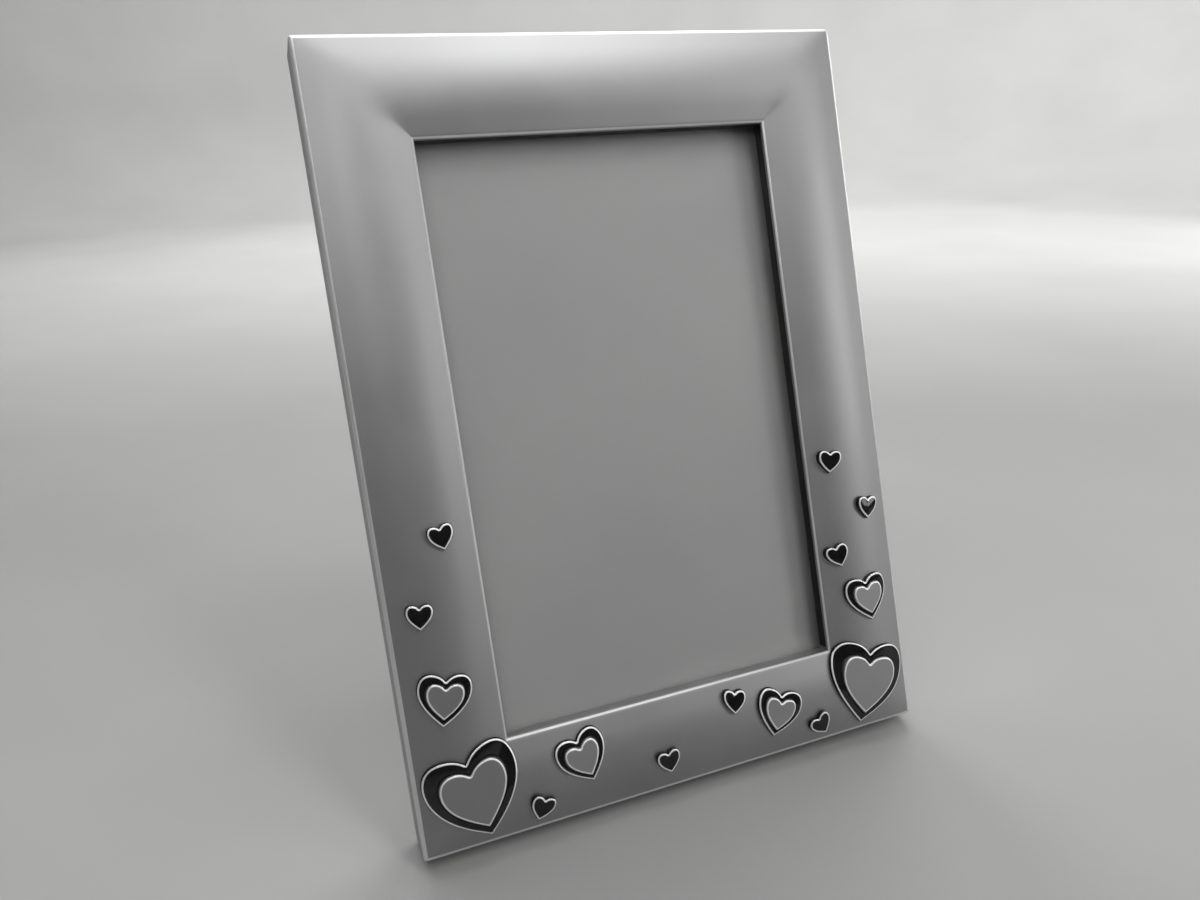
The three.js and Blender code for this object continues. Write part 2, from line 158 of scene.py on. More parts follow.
# How finely curves are drawn, and the rows that hold the moulding's flanks and edges straight
CREST_STEPS = 16
CREST_STRIDE_UNDER = 4
EDGE_STEPS = 5
LIP_STEPS = 2
EDGE_HOLD = 0.3
FLANK_HOLD = 2.5
HEART_STEPS = 24
HEART_POINTS = 48
NOTCH_STEPS = 6
BEVEL_STEPS = 6
ROUND_STEPS = 36
DOME_STEPS = 8
CORNER_REACHES = [26, 20, 15, 11, 8, 5.5, 3.6, 2.2, 1.2, 0.7, 0.4, 0.2, 0]
SHARP_ANGLE = math.radians(35)

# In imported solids: how close two corners are that count as one, the bend below which faces count as one, and
# the area in square millimetres from which a face is shaded flat
WELD = 0.005
LEVEL_ANGLE = math.radians(1)
FLAT_AREA = 60.0

# Finishes along the strips of the shell: satin, a painted highlight, and a lip painted dark as painted shade;
# and which strips of its inner edge carry the painted highlight
SATIN_BAND, EDGE_HIGHLIGHT_BAND, SHADE_LIP_BAND = range(3)
HIGHLIGHT_STRIP_FROM = 1
HIGHLIGHT_STRIP_TO = 3

# Finishes along the strips of a heart, whose edge carries a painted highlight from halfway up
PLAIN_BAND, HEART_HIGHLIGHT_BAND = range(2)
HIGHLIGHT_FROM = BEVEL_STEPS // 2

# Depths from front to back
EDGE_Y = CROWN_RISE
LIP_END_Y = EDGE_Y + LIP_DEPTH
GLASS_Y = LIP_END_Y + LAYER_GAP
INSERT_Y = GLASS_Y + GLASS_THICKNESS + LAYER_GAP
CARD_Y = INSERT_Y + INSERT_THICKNESS + LAYER_GAP
PANEL_Y = CARD_Y + CARD_THICKNESS + LAYER_GAP
PANEL_REAR_Y = PANEL_Y + PANEL_THICKNESS
REAR_Y = PANEL_REAR_Y + LAYER_GAP + SHEET

# The hinge axis, and depths on the strut measured from it
BARREL_RADIUS = PIN_RADIUS + PIN_PLAY + HINGE_SHEET
BRACKET_REAR_Y = PANEL_REAR_Y + RIVET_GAP + HINGE_SHEET
PIVOT_OVER_STRUT = REAR_Y + HINGE_GAP + STRUT_THICKNESS + RIVET_GAP + HINGE_SHEET - BARREL_RADIUS
PIVOT_OVER_BRACKET = BRACKET_REAR_Y + HINGE_GAP + BARREL_RADIUS
PIVOT_Y = max(PIVOT_OVER_STRUT, PIVOT_OVER_BRACKET)
STRUT_FRONT = BARREL_RADIUS - HINGE_SHEET - RIVET_GAP - STRUT_THICKNESS

# The camera, measured from the middle of the face: to the right, up along the face, and out from it. Its
# focal length is in pixels of a picture as wide as given here.
CAMERA_PLACE = (-89.66, 11.91, 222.98)
CAMERA_FORWARD = (0.3268, -0.0781, -0.9419)
CAMERA_UP = (0.1605, 0.9867, -0.0261)
FOCAL_PIXELS = 909.6
PICTURE_WIDTH = 1200
SENSOR_WIDTH = 36.0
LENS = SENSOR_WIDTH * FOCAL_PIXELS / PICTURE_WIDTH
CLIP_START = 0.01

# The studio's floor, in metres
FLOOR_RADIUS = 1.4
FLOOR_BEND = 0.5
FLOOR_TOP = 1.8
FLOOR_BEND_STEPS = 16

# The studio's dim surroundings, and its lamps round the frame: azimuth from the front towards the right,
# elevation, distance and size in metres, and watts
WORLD_GREY = 0.006
LAMP_AIM = (0, 0, 0.1)
LAMPS = {
    "key": (28, 46, 1.2, 0.2, 1.3),
    "near_key": (28, 65, 0.55, 0.12, 0.45),
    "front_left": (-10, 40, 1.2, 0.5, 0.6),
    "right": (48, 20, 1.2, 0.3, 1.8),
    "low_right": (52, 8, 1.2, 0.3, 1.0),
    "side_right": (105, 12, 1.2, 0.5, 2.8),
    "rear": (180, 35, 1.5, 0.5, 6.5),
    "rear_right": (145, 50, 1.5, 0.5, 7.0),
    "rear_left": (-145, 50, 1.5, 0.5, 3.0),
}

# Lamps with places of their own: place, aim, width and height in metres, and watts
PLACED_LAMPS = {
    "close_left": ((-0.15, -0.2, 0.32), (-0.05, 0.02, 0.17), 0.1, 0.1, 0.125),
    "close_top": ((0.0, 0.0, 0.3), (0.0, 0.03, 0.18), 0.3, 0.06, 0.16),
    "backdrop": ((0.7, 0.5, 1.0), (1.1, 1.5, 0.5), 2.0, 0.6, 26.0),
}


def lean_matrix():
    """Takes upright millimetres to the leaning frame in metres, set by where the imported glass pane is."""
    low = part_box("glass_pane")[0] / MM
    pane_bottom = BAR_WIDTH - END_OVERLAP + POCKET_PLAY
    sine = math.sin(LEAN_BACK)
    cosine = math.cos(LEAN_BACK)
    shift_y = low.y - (GLASS_Y * cosine + pane_bottom * sine)
    shift_z = low.z - (pane_bottom * cosine - (GLASS_Y + GLASS_THICKNESS) * sine)
    shift = Matrix.Translation((0, shift_y, shift_z))
    return Matrix.Scale(MM, 4) @ shift @ Matrix.Rotation(-LEAN_BACK, 4, "X")


LEANED = lean_matrix()
STRUT_PLACED = LEANED @ Matrix.Translation((0, PIVOT_Y, PIVOT_Z)) @ Matrix.Rotation(STRUT_OPENING, 4, "X")


# Materials

# The part of a noise value's range that most of it lies in
NOISE_LOW = 0.3
NOISE_HIGH = 0.7


def new_material(name):
    material = bpy.data.materials.new(name)
    material.use_nodes = True
    return material, material.node_tree.nodes["Principled BSDF"]


def noise(material, scale, detail, stretch=(1, 1, 1)):
    """A noise value over the object's own coordinates, scale being features in a metre."""
    tree = material.node_tree
    place = tree.nodes.new("ShaderNodeTexCoord")
    mapping = tree.nodes.new("ShaderNodeMapping")
    mapping.inputs["Scale"].default_value = stretch
    texture = tree.nodes.new("ShaderNodeTexNoise")
    texture.inputs["Scale"].default_value = scale
    texture.inputs["Detail"].default_value = detail
    tree.links.new(place.outputs["Object"], mapping.inputs["Vector"])
    tree.links.new(mapping.outputs["Vector"], texture.inputs["Vector"])
    return texture.outputs["Fac"]


def spread(material, source, low, high):
    """Spreads a noise value, which keeps near its middle, over a range for a shader's socket."""
    tree = material.node_tree
    node = tree.nodes.new("ShaderNodeMapRange")
    node.inputs["From Min"].default_value = NOISE_LOW
    node.inputs["From Max"].default_value = NOISE_HIGH
    node.inputs["To Min"].default_value = low
    node.inputs["To Max"].default_value = high
    tree.links.new(source, node.inputs["Value"])
    return node.outputs["Result"]


def colours(material, source, low, high):
    """A colour between two, by a noise value."""
    tree = material.node_tree
    ramp = tree.nodes.new("ShaderNodeValToRGB")
    ramp.color_ramp.elements[0].position = NOISE_LOW
    ramp.color_ramp.elements[1].position = NOISE_HIGH
    ramp.color_ramp.elements[0].color = (*low, 1)
    ramp.color_ramp.elements[1].color = (*high, 1)
    tree.links.new(source, ramp.inputs["Fac"])
    return ramp.outputs["Color"]


def bump(material, source, depth_mm, strength, under=None):
    """A normal roughened by a noise value, laid over another normal if there is one under it."""
    tree = material.node_tree
    node = tree.nodes.new("ShaderNodeBump")
    node.inputs["Strength"].default_value = strength
    node.inputs["Distance"].default_value = depth_mm * MM
    tree.links.new(source, node.inputs["Height"])
    if under:
        tree.links.new(under, node.inputs["Normal"])
    return node.outputs["Normal"]


def link(material, source, shader, socket):
    material.node_tree.links.new(source, shader.inputs[socket])


def paint(material, shader, source, low, high):
    """Gives a shader a colour between two, by a noise value."""
    link(material, colours(material, source, low, high), shader, "Base Color")


def roughen(material, shader, source, low, high):
    """Gives a shader a roughness between two, by a noise value."""
    link(material, spread(material, source, low, high), shader, "Roughness")


def satin_silver():
    material, shader = new_material("satin_silver")
    shader.inputs["Metallic"].default_value = 1
    broad = noise(material, 45, 4)
    grain = noise(material, 5200, 2)
    paint(material, shader, broad, (0.345, 0.345, 0.347), (0.375, 0.375, 0.375))
    roughen(material, shader, broad, 0.48, 0.53)
    link(material, bump(material, grain, 0.004, 0.5), shader, "Normal")
    return material


def painted_edge_highlight():
    """Edges painted brighter than the satin beside them: a painted highlight along the arrises."""
    material, shader = new_material("painted_edge_highlight")
    shader.inputs["Metallic"].default_value = 0.6
    edge_tone = noise(material, 60, 3)
    paint(material, shader, edge_tone, (0.7, 0.7, 0.703), (0.76, 0.76, 0.76))
    roughen(material, shader, edge_tone, 0.42, 0.48)
    return material


def painted_heart_highlight():
    """The hearts' edges: a near-white painted highlight that draws a pale line round each."""
    material, shader = new_material("painted_heart_highlight")
    shader.inputs["Metallic"].default_value = 0.6
    highlight_tone = noise(material, 400, 4)
    paint(material, shader, highlight_tone, (0.95, 0.95, 0.95), (0.99, 0.99, 0.985))
    roughen(material, shader, highlight_tone, 0.42, 0.5)
    return material


def polished_silver():
    """Mirror-smooth faces whose colour is painted near-black: a painted dark reflection."""
    material, shader = new_material("polished_silver")
    shader.inputs["Metallic"].default_value = 1
    smudge = noise(material, 260, 5)
    paint(material, shader, smudge, (0.04, 0.04, 0.041), (0.06, 0.06, 0.06))
    roughen(material, shader, smudge, 0.05, 0.11)
    return material


def painted_shade_lip():
    """The lip between the moulding and the glass, painted black as painted shade."""
    material, shader = new_material("painted_shade_lip")
    shader.inputs["Metallic"].default_value = 0.6
    cloud = noise(material, 300, 4)
    paint(material, shader, cloud, (0.02, 0.02, 0.02), (0.035, 0.035, 0.035))
    roughen(material, shader, cloud, 0.45, 0.6)
    return material


def nickel():
    material, shader = new_material("nickel")
    shader.inputs["Metallic"].default_value = 1
    broad = noise(material, 120, 4)
    brushed = noise(material, 900, 3, (0.06, 1, 1))
    paint(material, shader, broad, (0.66, 0.64, 0.6), (0.76, 0.74, 0.7))
    roughen(material, shader, brushed, 0.2, 0.36)
    link(material, bump(material, brushed, 0.01, 0.4), shader, "Normal")
    return material


def clear_glass():
    """Glass that lets the lamps through to the paper behind it."""
    material, shader = new_material("clear_glass")
    shader.inputs["Base Color"].default_value = (0.99, 0.995, 0.99, 1)
    shader.inputs["Transmission Weight"].default_value = 1
    shader.inputs["Roughness"].default_value = 0.015
    shader.inputs["IOR"].default_value = 1.5
    tree = material.node_tree
    rays = tree.nodes.new("ShaderNodeLightPath")
    clear = tree.nodes.new("ShaderNodeBsdfTransparent")
    mix = tree.nodes.new("ShaderNodeMixShader")
    tree.links.new(rays.outputs["Is Shadow Ray"], mix.inputs["Fac"])
    tree.links.new(shader.outputs["BSDF"], mix.inputs[1])
    tree.links.new(clear.outputs["BSDF"], mix.inputs[2])
    tree.links.new(mix.outputs["Shader"], tree.nodes["Material Output"].inputs["Surface"])
    return material


def grey_paper():
    material, shader = new_material("grey_paper")
    cloud = noise(material, 22, 3)
    fibre = noise(material, 2400, 4)
    paint(material, shader, cloud, (0.24, 0.24, 0.24), (0.262, 0.262, 0.258))
    shader.inputs["Roughness"].default_value = 0.55
    link(material, bump(material, fibre, 0.01, 0.3), shader, "Normal")
    return material


def grey_card():
    material, shader = new_material("grey_card")
    fibre = noise(material, 700, 6, (1, 0.3, 0.3))
    paint(material, shader, fibre, (0.2, 0.19, 0.175), (0.33, 0.32, 0.3))
    shader.inputs["Roughness"].default_value = 0.92
    link(material, bump(material, fibre, 0.03, 0.4), shader, "Normal")
    return material


def fibreboard():
    material, shader = new_material("fibreboard")
    fleck = noise(material, 900, 6)
    paint(material, shader, fleck, (0.2, 0.115, 0.055), (0.36, 0.23, 0.12))
    shader.inputs["Roughness"].default_value = 0.85
    link(material, bump(material, fleck, 0.05, 0.4), shader, "Normal")
    return material


def black_velvet():
    """Short pile: broad strokes where the nap lies differently, and fine fibres."""
    material, shader = new_material("black_velvet")
    strokes = noise(material, 38, 3, (1, 0.5, 0.5))
    pile = noise(material, 3200, 3)
    paint(material, shader, strokes, (0.008, 0.008, 0.009), (0.02, 0.02, 0.022))
    shader.inputs["Roughness"].default_value = 1
    shader.inputs["Specular IOR Level"].default_value = 0.1
    shader.inputs["Sheen Weight"].default_value = 0.35
    shader.inputs["Sheen Roughness"].default_value = 0.35
    shader.inputs["Sheen Tint"].default_value = (0.75, 0.75, 0.8, 1)
    broad = bump(material, strokes, 0.5, 0.25)
    link(material, bump(material, pile, 0.08, 0.6, broad), shader, "Normal")
    return material


def pale_floor():
    material, shader = new_material("pale_floor")
    cloud = noise(material, 6, 3)
    paint(material, shader, cloud, (0.4, 0.4, 0.397), (0.43, 0.43, 0.427))
    shader.inputs["Roughness"].default_value = 0.75
    shader.inputs["Specular IOR Level"].default_value = 0.2
    return material


SATIN = satin_silver()
PAINTED_EDGE_HIGHLIGHT = painted_edge_highlight()
PAINTED_HEART_HIGHLIGHT = painted_heart_highlight()
POLISHED_PAINTED_DARK = polished_silver()
PAINTED_SHADE_LIP = painted_shade_lip()
NICKEL = nickel()
VELVET = black_velvet()


# Making pieces

def new_mesh(name, points, faces, placed, bands=None):
    """A smooth-shaded mesh of upright points put in place. bands gives each face's material."""
    mesh = bpy.data.meshes.new(name)
    mesh.from_pydata([placed @ Vector(point) for point in points], [], faces)
    if bands:
        mesh.polygons.foreach_set("material_index", bands)
    solid = bmesh.new()
    solid.from_mesh(mesh)
    bmesh.ops.recalc_face_normals(solid, faces=solid.faces)
    solid.to_mesh(mesh)
    solid.free()
    shade(mesh)
    return mesh


def shade(mesh, flat_area=math.inf):
    """Smooth shading, except on faces broader than flat_area square metres."""
    mesh.set_sharp_from_angle(angle=SHARP_ANGLE)
    mesh.polygons.foreach_set("use_smooth", [face.area < flat_area for face in mesh.polygons])
    mesh.update()


def give_materials(mesh, materials):
    for material in materials:
        mesh.materials.append(material)


def add_piece(mesh, body, slot, materials, *replaced):
    """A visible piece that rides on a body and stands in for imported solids. A mesh that has materials keeps
    them."""
    piece = bpy.data.objects.new(mesh.name, mesh)
    bpy.context.scene.collection.objects.link(piece)
    if not mesh.materials:
        give_materials(mesh, materials)
    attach(piece, body)
    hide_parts(*replaced)


def loft(loops, closed):
    """Points and faces that join loops. A loop of one point closes an end, and a closed chain runs from its
    last loop back to its first. The third result is each face's place in the chain."""
    starts = []
    points = []
    for loop in loops:
        starts.append(len(points))
        points.extend(loop)
    faces = []
    rows = []
    last = len(loops) if closed else len(loops) - 1
    for row in range(last):
        after = (row + 1) % len(loops)
        count = max(len(loops[row]), len(loops[after]))
        for step in range(count):
            here = [starts[row] + k % len(loops[row]) for k in (step, step + 1)]
            there = [starts[after] + k % len(loops[after]) for k in (step + 1, step)]
            corners = list(dict.fromkeys(here + there))
            faces.append(corners)
            rows.append(row)
    return points, faces, rows


# The moulding

def crown(inset):
    """How far the moulding rises, inset from its edge: straight flanks that meet in a rounded crest."""
    half = BAR_WIDTH / 2
    slope = CROWN_RISE / (half - CREST_REACH / 2)
    from_crest = abs(inset - half)
    if from_crest > CREST_REACH:
        return slope * (half - from_crest)
    return CROWN_RISE - slope * from_crest ** 2 / (2 * CREST_REACH)


def eased_inset(x, z):
    """The distance in from the nearest outer edge, eased across the mitres but for their inner ends."""
    side = FRAME_WIDTH / 2 - abs(x)
    end = min(z, FRAME_HEIGHT - z)
    nearest = min(side, end)
    share = min(max((side + end) / 2 / BAR_WIDTH, 0), 1)
    ease = (HIP_EASE + MITRE_EASE * share) * (1 - share ** 3) ** 2
    overlap = max(ease - abs(side - end), 0)
    if overlap > 0:
        nearest -= overlap ** 2 / (4 * ease)
    return min(nearest, BAR_WIDTH)


def face_y(inset):
    """The y of the moulding's face, inset from the frame's edge and away from the mitres."""
    return EDGE_Y - crown(inset)


def face_at(x, z):
    """The y of the moulding's face at a place on it."""
    return face_y(eased_inset(x, z))


def curve(start, control, end, steps):
    """Points of a quadratic curve."""
    points = []
    for step in range(steps + 1):
        t = step / steps
        weights = ((1 - t) ** 2, 2 * t * (1 - t), t ** 2)
        points.append(tuple(sum(w * p[k] for w, p in zip(weights, (start, control, end))) for k in (0, 1)))
    return points


def shell_section():
    """The shell's section as (inset, y, follows, band) rows. A row that follows moves with the eased mitres.
    The band is the finish of the strip that the row starts: satin, a painted highlight on the outer edge and
    on part of the inner one, or the lip painted dark as painted shade."""
    inner_edge = BAR_WIDTH - ARRIS
    outer = curve((0, EDGE_Y + ARRIS), (0, EDGE_Y), (ARRIS, face_y(ARRIS)), EDGE_STEPS)
    flank = [ARRIS + EDGE_HOLD, FLANK_HOLD]
    crest = [BAR_WIDTH / 2 + CREST_REACH * (2 * k / CREST_STEPS - 1) for k in range(CREST_STEPS + 1)]
    insets = flank + crest + [BAR_WIDTH - inset for inset in reversed(flank)]
    inner_start = (inner_edge, face_y(inner_edge))
    inner = curve(inner_start, (BAR_WIDTH, EDGE_Y), (BAR_WIDTH, EDGE_Y + ARRIS), EDGE_STEPS)
    lip_start = (BAR_WIDTH, LIP_END_Y - LIP_EDGE)
    lip = curve(lip_start, (BAR_WIDTH, LIP_END_Y), (BAR_WIDTH - LIP_EDGE, LIP_END_Y), LIP_STEPS)
    under = [BAR_WIDTH - SHEET, *reversed(crest[::CREST_STRIDE_UNDER]), SHEET]
    rear = curve((REAR_EDGE, REAR_Y), (0, REAR_Y), (0, REAR_Y - REAR_EDGE), EDGE_STEPS)
    # The outer edge's strips carry the painted highlight.
    rows = [(*point, True, EDGE_HIGHLIGHT_BAND) for point in outer[:-1]]
    rows += [(*outer[-1], True, SATIN_BAND)]
    rows += [(inset, face_y(inset), True, SATIN_BAND) for inset in insets]
    # Part of the inner edge carries the painted highlight.
    rows += [(*point, True, SATIN_BAND) for point in inner[:HIGHLIGHT_STRIP_FROM]]
    rows += [(*point, True, EDGE_HIGHLIGHT_BAND) for point in inner[HIGHLIGHT_STRIP_FROM:HIGHLIGHT_STRIP_TO]]
    rows += [(*point, True, SATIN_BAND) for point in inner[HIGHLIGHT_STRIP_TO:-1]]
    # The lip's strips are painted dark as painted shade.
    rows += [(*inner[-1], True, SHADE_LIP_BAND)]
    rows += [(BAR_WIDTH, EDGE_Y + ARRIS + EDGE_HOLD, False, SHADE_LIP_BAND)]
    rows += [(*point, False, SHADE_LIP_BAND) for point in lip]
    rows += [(BAR_WIDTH - SHEET, LIP_END_Y, False, SATIN_BAND)]
    rows += [(inset, face_y(inset) + SHEET, True, SATIN_BAND) for inset in under]
    rows += [(SHEET, REAR_Y - SHEET, False, SATIN_BAND)]
    rows += [(RIM_REACH, REAR_Y - SHEET, False, SATIN_BAND)]
    rows += [(RIM_REACH, REAR_Y, False, SATIN_BAND)]
    rows += [(*point, False, SATIN_BAND) for point in rear]
    rows += [(0, REAR_Y - REAR_EDGE - EDGE_HOLD, False, SATIN_BAND)]
    rows += [(0, EDGE_Y + ARRIS + EDGE_HOLD, False, SATIN_BAND)]
    return rows


def corner_offsets(radius):
    """Offsets from a corner along its two sides, from the first side round to the second."""
    first = []
    for reach in CORNER_REACHES:
        if reach >= radius:
            first.append((reach, 0.0))
        else:
            turn = math.pi / 4 * (1 - reach / radius)
            first.append((radius * (1 - math.sin(turn)), radius * (1 - math.cos(turn))))
    return first + [(second, along) for along, second in reversed(first[:-1])]


def ring(inset):
    """The (x, z) places of one ring round the frame, with slightly rounded outer corners."""
    offsets = corner_offsets(max(CORNER_RADIUS - inset, 0))
    side = FRAME_WIDTH / 2 - inset
    top = FRAME_HEIGHT - inset
    corners = [(-side, inset, True), (side, inset, False), (side, top, True), (-side, top, False)]
    places = []
    for x, z, upright_first in corners:
        inward_x = -math.copysign(1, x)
        inward_z = 1 if z == inset else -1
        for along, second in offsets:
            if not upright_first:
                along, second = second, along
            places.append((x + inward_x * second, z + inward_z * along))
    return places


def shell_loop(inset, y, follows):
    """One ring of the shell's points at depth y, moved with the eased mitres if it follows them."""
    loop = []
    for x, z in ring(inset):
        eased = face_at(x, z) - face_y(inset) if follows else 0
        loop.append((x, y + eased, z))
    return loop


def cut_away(mesh, low, high):
    """Cuts an upright block out of a mesh that is in place."""
    corners = [(x, y, z) for x in (low[0], high[0]) for y in (low[1], high[1]) for z in (low[2], high[2])]
    sides = [(0, 1, 3, 2), (4, 6, 7, 5), (0, 4, 5, 1), (2, 3, 7, 6), (0, 2, 6, 4), (1, 5, 7, 3)]
    tool = bpy.data.objects.new("cutter", new_mesh("cutter", corners, sides, LEANED))
    body = bpy.data.objects.new("to_cut", mesh)
    for thing in (tool, body):
        bpy.context.scene.collection.objects.link(thing)
    modifier = body.modifiers.new("cut", "BOOLEAN")
    modifier.operation = "DIFFERENCE"
    modifier.solver = "EXACT"
    modifier.object = tool
    bpy.context.view_layer.update()
    done = bpy.data.meshes.new_from_object(body.evaluated_get(bpy.context.evaluated_depsgraph_get()))
    bpy.data.objects.remove(body)
    bpy.data.objects.remove(tool)
    return done


def shell_bands(section, points, faces, rows):
    """The finish of each of the shell's faces. The lip is painted dark as painted shade, but along the bottom
    it faces the light and is satin.
    """
    bands = [section[row][-1] for row in rows]
    for number, face in enumerate(faces):
        along_bottom = max(points[corner][2] for corner in face) < BAR_WIDTH + SHEET
        if bands[number] == SHADE_LIP_BAND and along_bottom:
            bands[number] = SATIN_BAND
    return bands


def add_shell():
    """The satin shell, open at the top behind its wall so that the back panel can slide out."""
    # Satin, the painted highlight of the edges, and the lip painted dark as painted shade.
    finishes = [SATIN, PAINTED_EDGE_HIGHLIGHT, PAINTED_SHADE_LIP]
    section = shell_section()
    points, faces, rows = loft([shell_loop(inset, y, follows) for inset, y, follows, _ in section], True)
    mesh = new_mesh("shell_uncut", points, faces, LEANED, shell_bands(section, points, faces, rows))
    give_materials(mesh, finishes)
    over = FRAME_HEIGHT + SHEET
    slot_y = PANEL_Y - LAYER_GAP
    slot_side = FRAME_WIDTH / 2 - SHEET
    rim_side = FRAME_WIDTH / 2 - RIM_REACH
    slot_z = FRAME_HEIGHT - 2 * SHEET
    rim_z = FRAME_HEIGHT - RIM_REACH - SHEET
    mesh = cut_away(mesh, (-slot_side, slot_y, slot_z), (slot_side, REAR_Y - SHEET, over))
    mesh = cut_away(mesh, (-rim_side, slot_y, rim_z), (rim_side, REAR_Y + SHEET, over))
    mesh.name = "shell_skin"
    shade(mesh)
    add_piece(mesh, "frame", "satin_silver", finishes, "frame_shell")


# The hearts

def heart_half(width):
    """Half of a heart's outline in millimetres, from its tip up the right side to its notch."""
    half = []
    start = HEART_TIP
    for first, second, end in HEART_HALF:
        for step in range(HEART_STEPS):
            t = step / HEART_STEPS
            weights = ((1 - t) ** 3, 3 * t * (1 - t) ** 2, 3 * t ** 2 * (1 - t), t ** 3)
            corners = (start, first, second, end)
            half.append(tuple(width * sum(w * p[k] for w, p in zip(weights, corners)) for k in (0, 1)))
        start = end
    return half + [(width * start[0], width * start[1])]


def set_in(half, inward):
    """Half an outline moved in by the same distance all along, up to the middle line and round the notch."""
    moved = []
    for before, here, after in zip(half[:1] + half[:-1], half, half[1:] + half[-1:]):
        run = (after[0] - before[0], after[1] - before[1])
        length = math.hypot(*run)
        place = (here[0] - inward * run[1] / length, here[1] + inward * run[0] / length)
        if place[0] > 0:
            moved.append(place)
    first, second = moved[:2]
    slope = (second[1] - first[1]) / (second[0] - first[0])
    notch = half[-1]
    turn = math.atan2(moved[-1][1] - notch[1], moved[-1][0] - notch[0])
    for step in range(1, NOTCH_STEPS + 1):
        angle = turn + (-math.pi / 2 - turn) * step / NOTCH_STEPS
        moved.append((inward * math.cos(angle), notch[1] + inward * math.sin(angle)))
    return [(0.0, first[1] - slope * first[0])] + moved


def evenly(points, count):
    """Points at even distances along the line through points."""
    lengths = [0.0]
    for here, there in zip(points, points[1:]):
        lengths.append(lengths[-1] + math.dist(here, there))
    even = []
    row = 0
    for step in range(count):
        along = lengths[-1] * step / (count - 1)
        while row < len(points) - 2 and lengths[row + 1] < along:
            row += 1
        share = (along - lengths[row]) / (lengths[row + 1] - lengths[row])
        even.append(tuple(a + share * (b - a) for a, b in zip(points[row], points[row + 1])))
    return even


def heart_outline(width, inward=0.0):
    """A heart's outline in millimetres, set in all round, anticlockwise from its tip when seen in front."""
    half = heart_half(width)
    if inward > 0:
        half = set_in(half, inward)
    half = evenly(half, HEART_POINTS)
    return half + [(-x, z) for x, z in reversed(half[1:-1])]


def scaled(outline, share):
    return [(share * x, share * z) for x, z in outline]


def heart_seat(heart):
    """Where a heart stands: its middle on the face, its turn, and the slopes of the plane it lies in."""
    middle = BAR_WIDTH / 2 + heart["across"]
    x = heart["side"] * (FRAME_WIDTH / 2 - heart.get("along", middle))
    z = heart.get("up", middle)
    probe = SMALL_WIDTH / 2
    slope_x = (face_at(x + probe, z) - face_at(x - probe, z)) / (2 * probe)
    slope_z = (face_at(x, z + probe) - face_at(x, z - probe)) / (2 * probe)
    return {"x": x, "z": z, "slope_x": slope_x, "slope_z": slope_z, "turn": math.radians(heart["lean"])}


def heart_loop(seat, outline, drop=0.0):
    """The (x, z) places of an outline on a heart's seat, let down towards its tip by drop."""
    cosine = math.cos(seat["turn"])
    sine = math.sin(seat["turn"])
    places = []
    for across, along in outline:
        along -= drop
        x = seat["x"] + across * cosine + along * sine
        z = seat["z"] - across * sine + along * cosine
        places.append((x, z))
    return places


def drape(places, rise):
    """Lays places over the moulding, rise in front of its face."""
    return [(x, face_at(x, z) - rise, z) for x, z in places]


def level(places, seat, rise):
    """Lays places on the plane of a heart's seat, rise in front of it."""
    middle = face_at(seat["x"], seat["z"])
    loop = []
    for x, z in places:
        y = middle + seat["slope_x"] * (x - seat["x"]) + seat["slope_z"] * (z - seat["z"]) - rise
        loop.append((x, y, z))
    return loop


def rounded_edge(bevel):
    """Steps of a quarter round as (how far in, how far below the top)."""
    turns = [math.pi / 2 * step / BEVEL_STEPS for step in range(BEVEL_STEPS + 1)]
    return [(bevel * (1 - math.cos(turn)), bevel * (1 - math.sin(turn))) for turn in turns]


def edge_bands(rows, highlight_row, top_row):
    """The finish of each of a heart's faces: a painted highlight on the upper part of its rounded edge, else
    plain.
    """
    return [HEART_HIGHLIGHT_BAND if highlight_row <= row < top_row else PLAIN_BAND for row in rows]


def heart_plate(seat, width, gap, drop, rise, dome):
    """Points, faces and bands of a heart set in by gap, with a rounded edge and a top that swells by dome.
    Its underside follows the moulding."""
    middle = heart_loop(seat, [(0, 0)], drop)
    outer = heart_outline(width, gap)
    top = heart_outline(width, gap + HEART_BEVEL)
    loops = [drape(middle, BOND_GAP)]
    for share in UNDER_SHARES:
        loops.append(drape(heart_loop(seat, scaled(outer, share), drop), BOND_GAP))
    # From this row on, the rounded edge carries the painted highlight.
    highlight_row = len(loops) + HIGHLIGHT_FROM
    for inward, below in rounded_edge(HEART_BEVEL):
        outline = heart_outline(width, gap + inward)
        loops.append(level(heart_loop(seat, outline, drop), seat, BOND_GAP + rise - below))
    top_row = len(loops) - 1
    for share in TOP_SHARES:
        swell = dome * (1 - share ** 2)
        loops.append(level(heart_loop(seat, scaled(top, share), drop), seat, BOND_GAP + rise + swell))
    loops.append(level(middle, seat, BOND_GAP + rise + dome))
    points, faces, rows = loft(loops, False)
    return points, faces, edge_bands(rows, highlight_row, top_row)


def add_small_heart(number, heart):
    """A small heart: one polished, slightly domed plate."""
    seat = heart_seat(heart)
    points, faces, bands = heart_plate(seat, SMALL_WIDTH, 0, 0, SMALL_THICKNESS, SMALL_DOME)
    mesh = new_mesh(f"small_heart_skin_{number}", points, faces, LEANED, bands)
    # Its top and the lower part of its edge are painted near-black as a painted dark reflection; the upper
    # edge carries a painted highlight.
    add_piece(mesh, "frame", "polished_silver", [POLISHED_PAINTED_DARK, PAINTED_HEART_HIGHLIGHT], f"small_heart_{number}")


